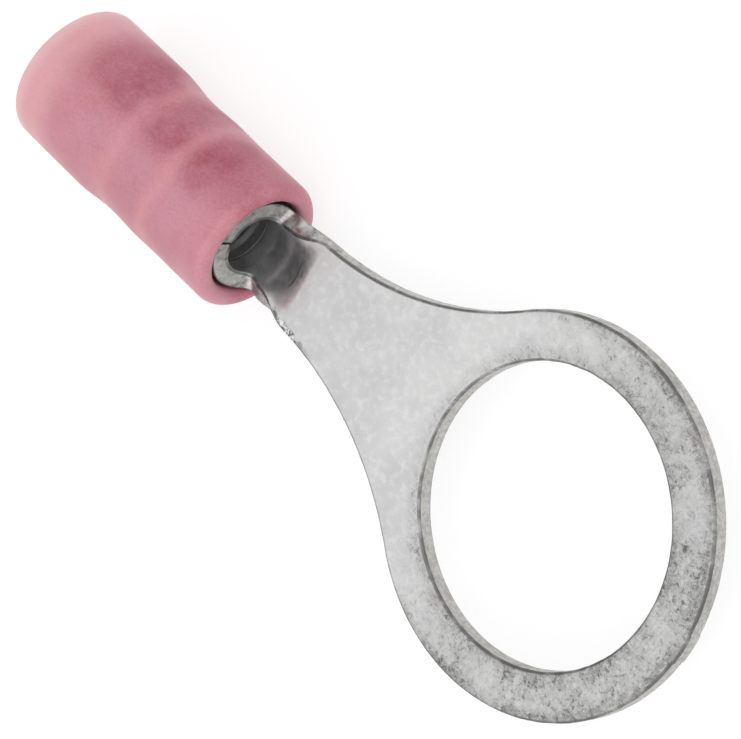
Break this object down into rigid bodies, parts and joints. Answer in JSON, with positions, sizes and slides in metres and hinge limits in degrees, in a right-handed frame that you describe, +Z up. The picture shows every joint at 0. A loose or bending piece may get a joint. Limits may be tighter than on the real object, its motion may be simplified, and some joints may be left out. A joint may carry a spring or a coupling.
{
  "type": "ring terminal",
  "caption": "Insulated crimp ring terminal: a flat metal ring with a flared neck, a rolled barrel with a butted seam, and a stepped nylon sleeve over a metal grip sleeve.",
  "frame": {"origin": "centre of the stud hole, on the underside of the ring", "axes": "+Z up along the axis of the stud, +X from the ring to the wire entry, +Y across"},
  "size_m": [0.0322, 0.0134, 0.0054],
  "materials": {
    "tinned_copper": "satin, tin plated, finely mottled",
    "grip_metal": "satin",
    "pink_nylon": "translucent, matte"
  },
  "bodies": {
    "root": {"terminal": "tinned_copper", "grip_sleeve": "grip_metal", "insulator": "pink_nylon"}
  },
  "joints": []
}
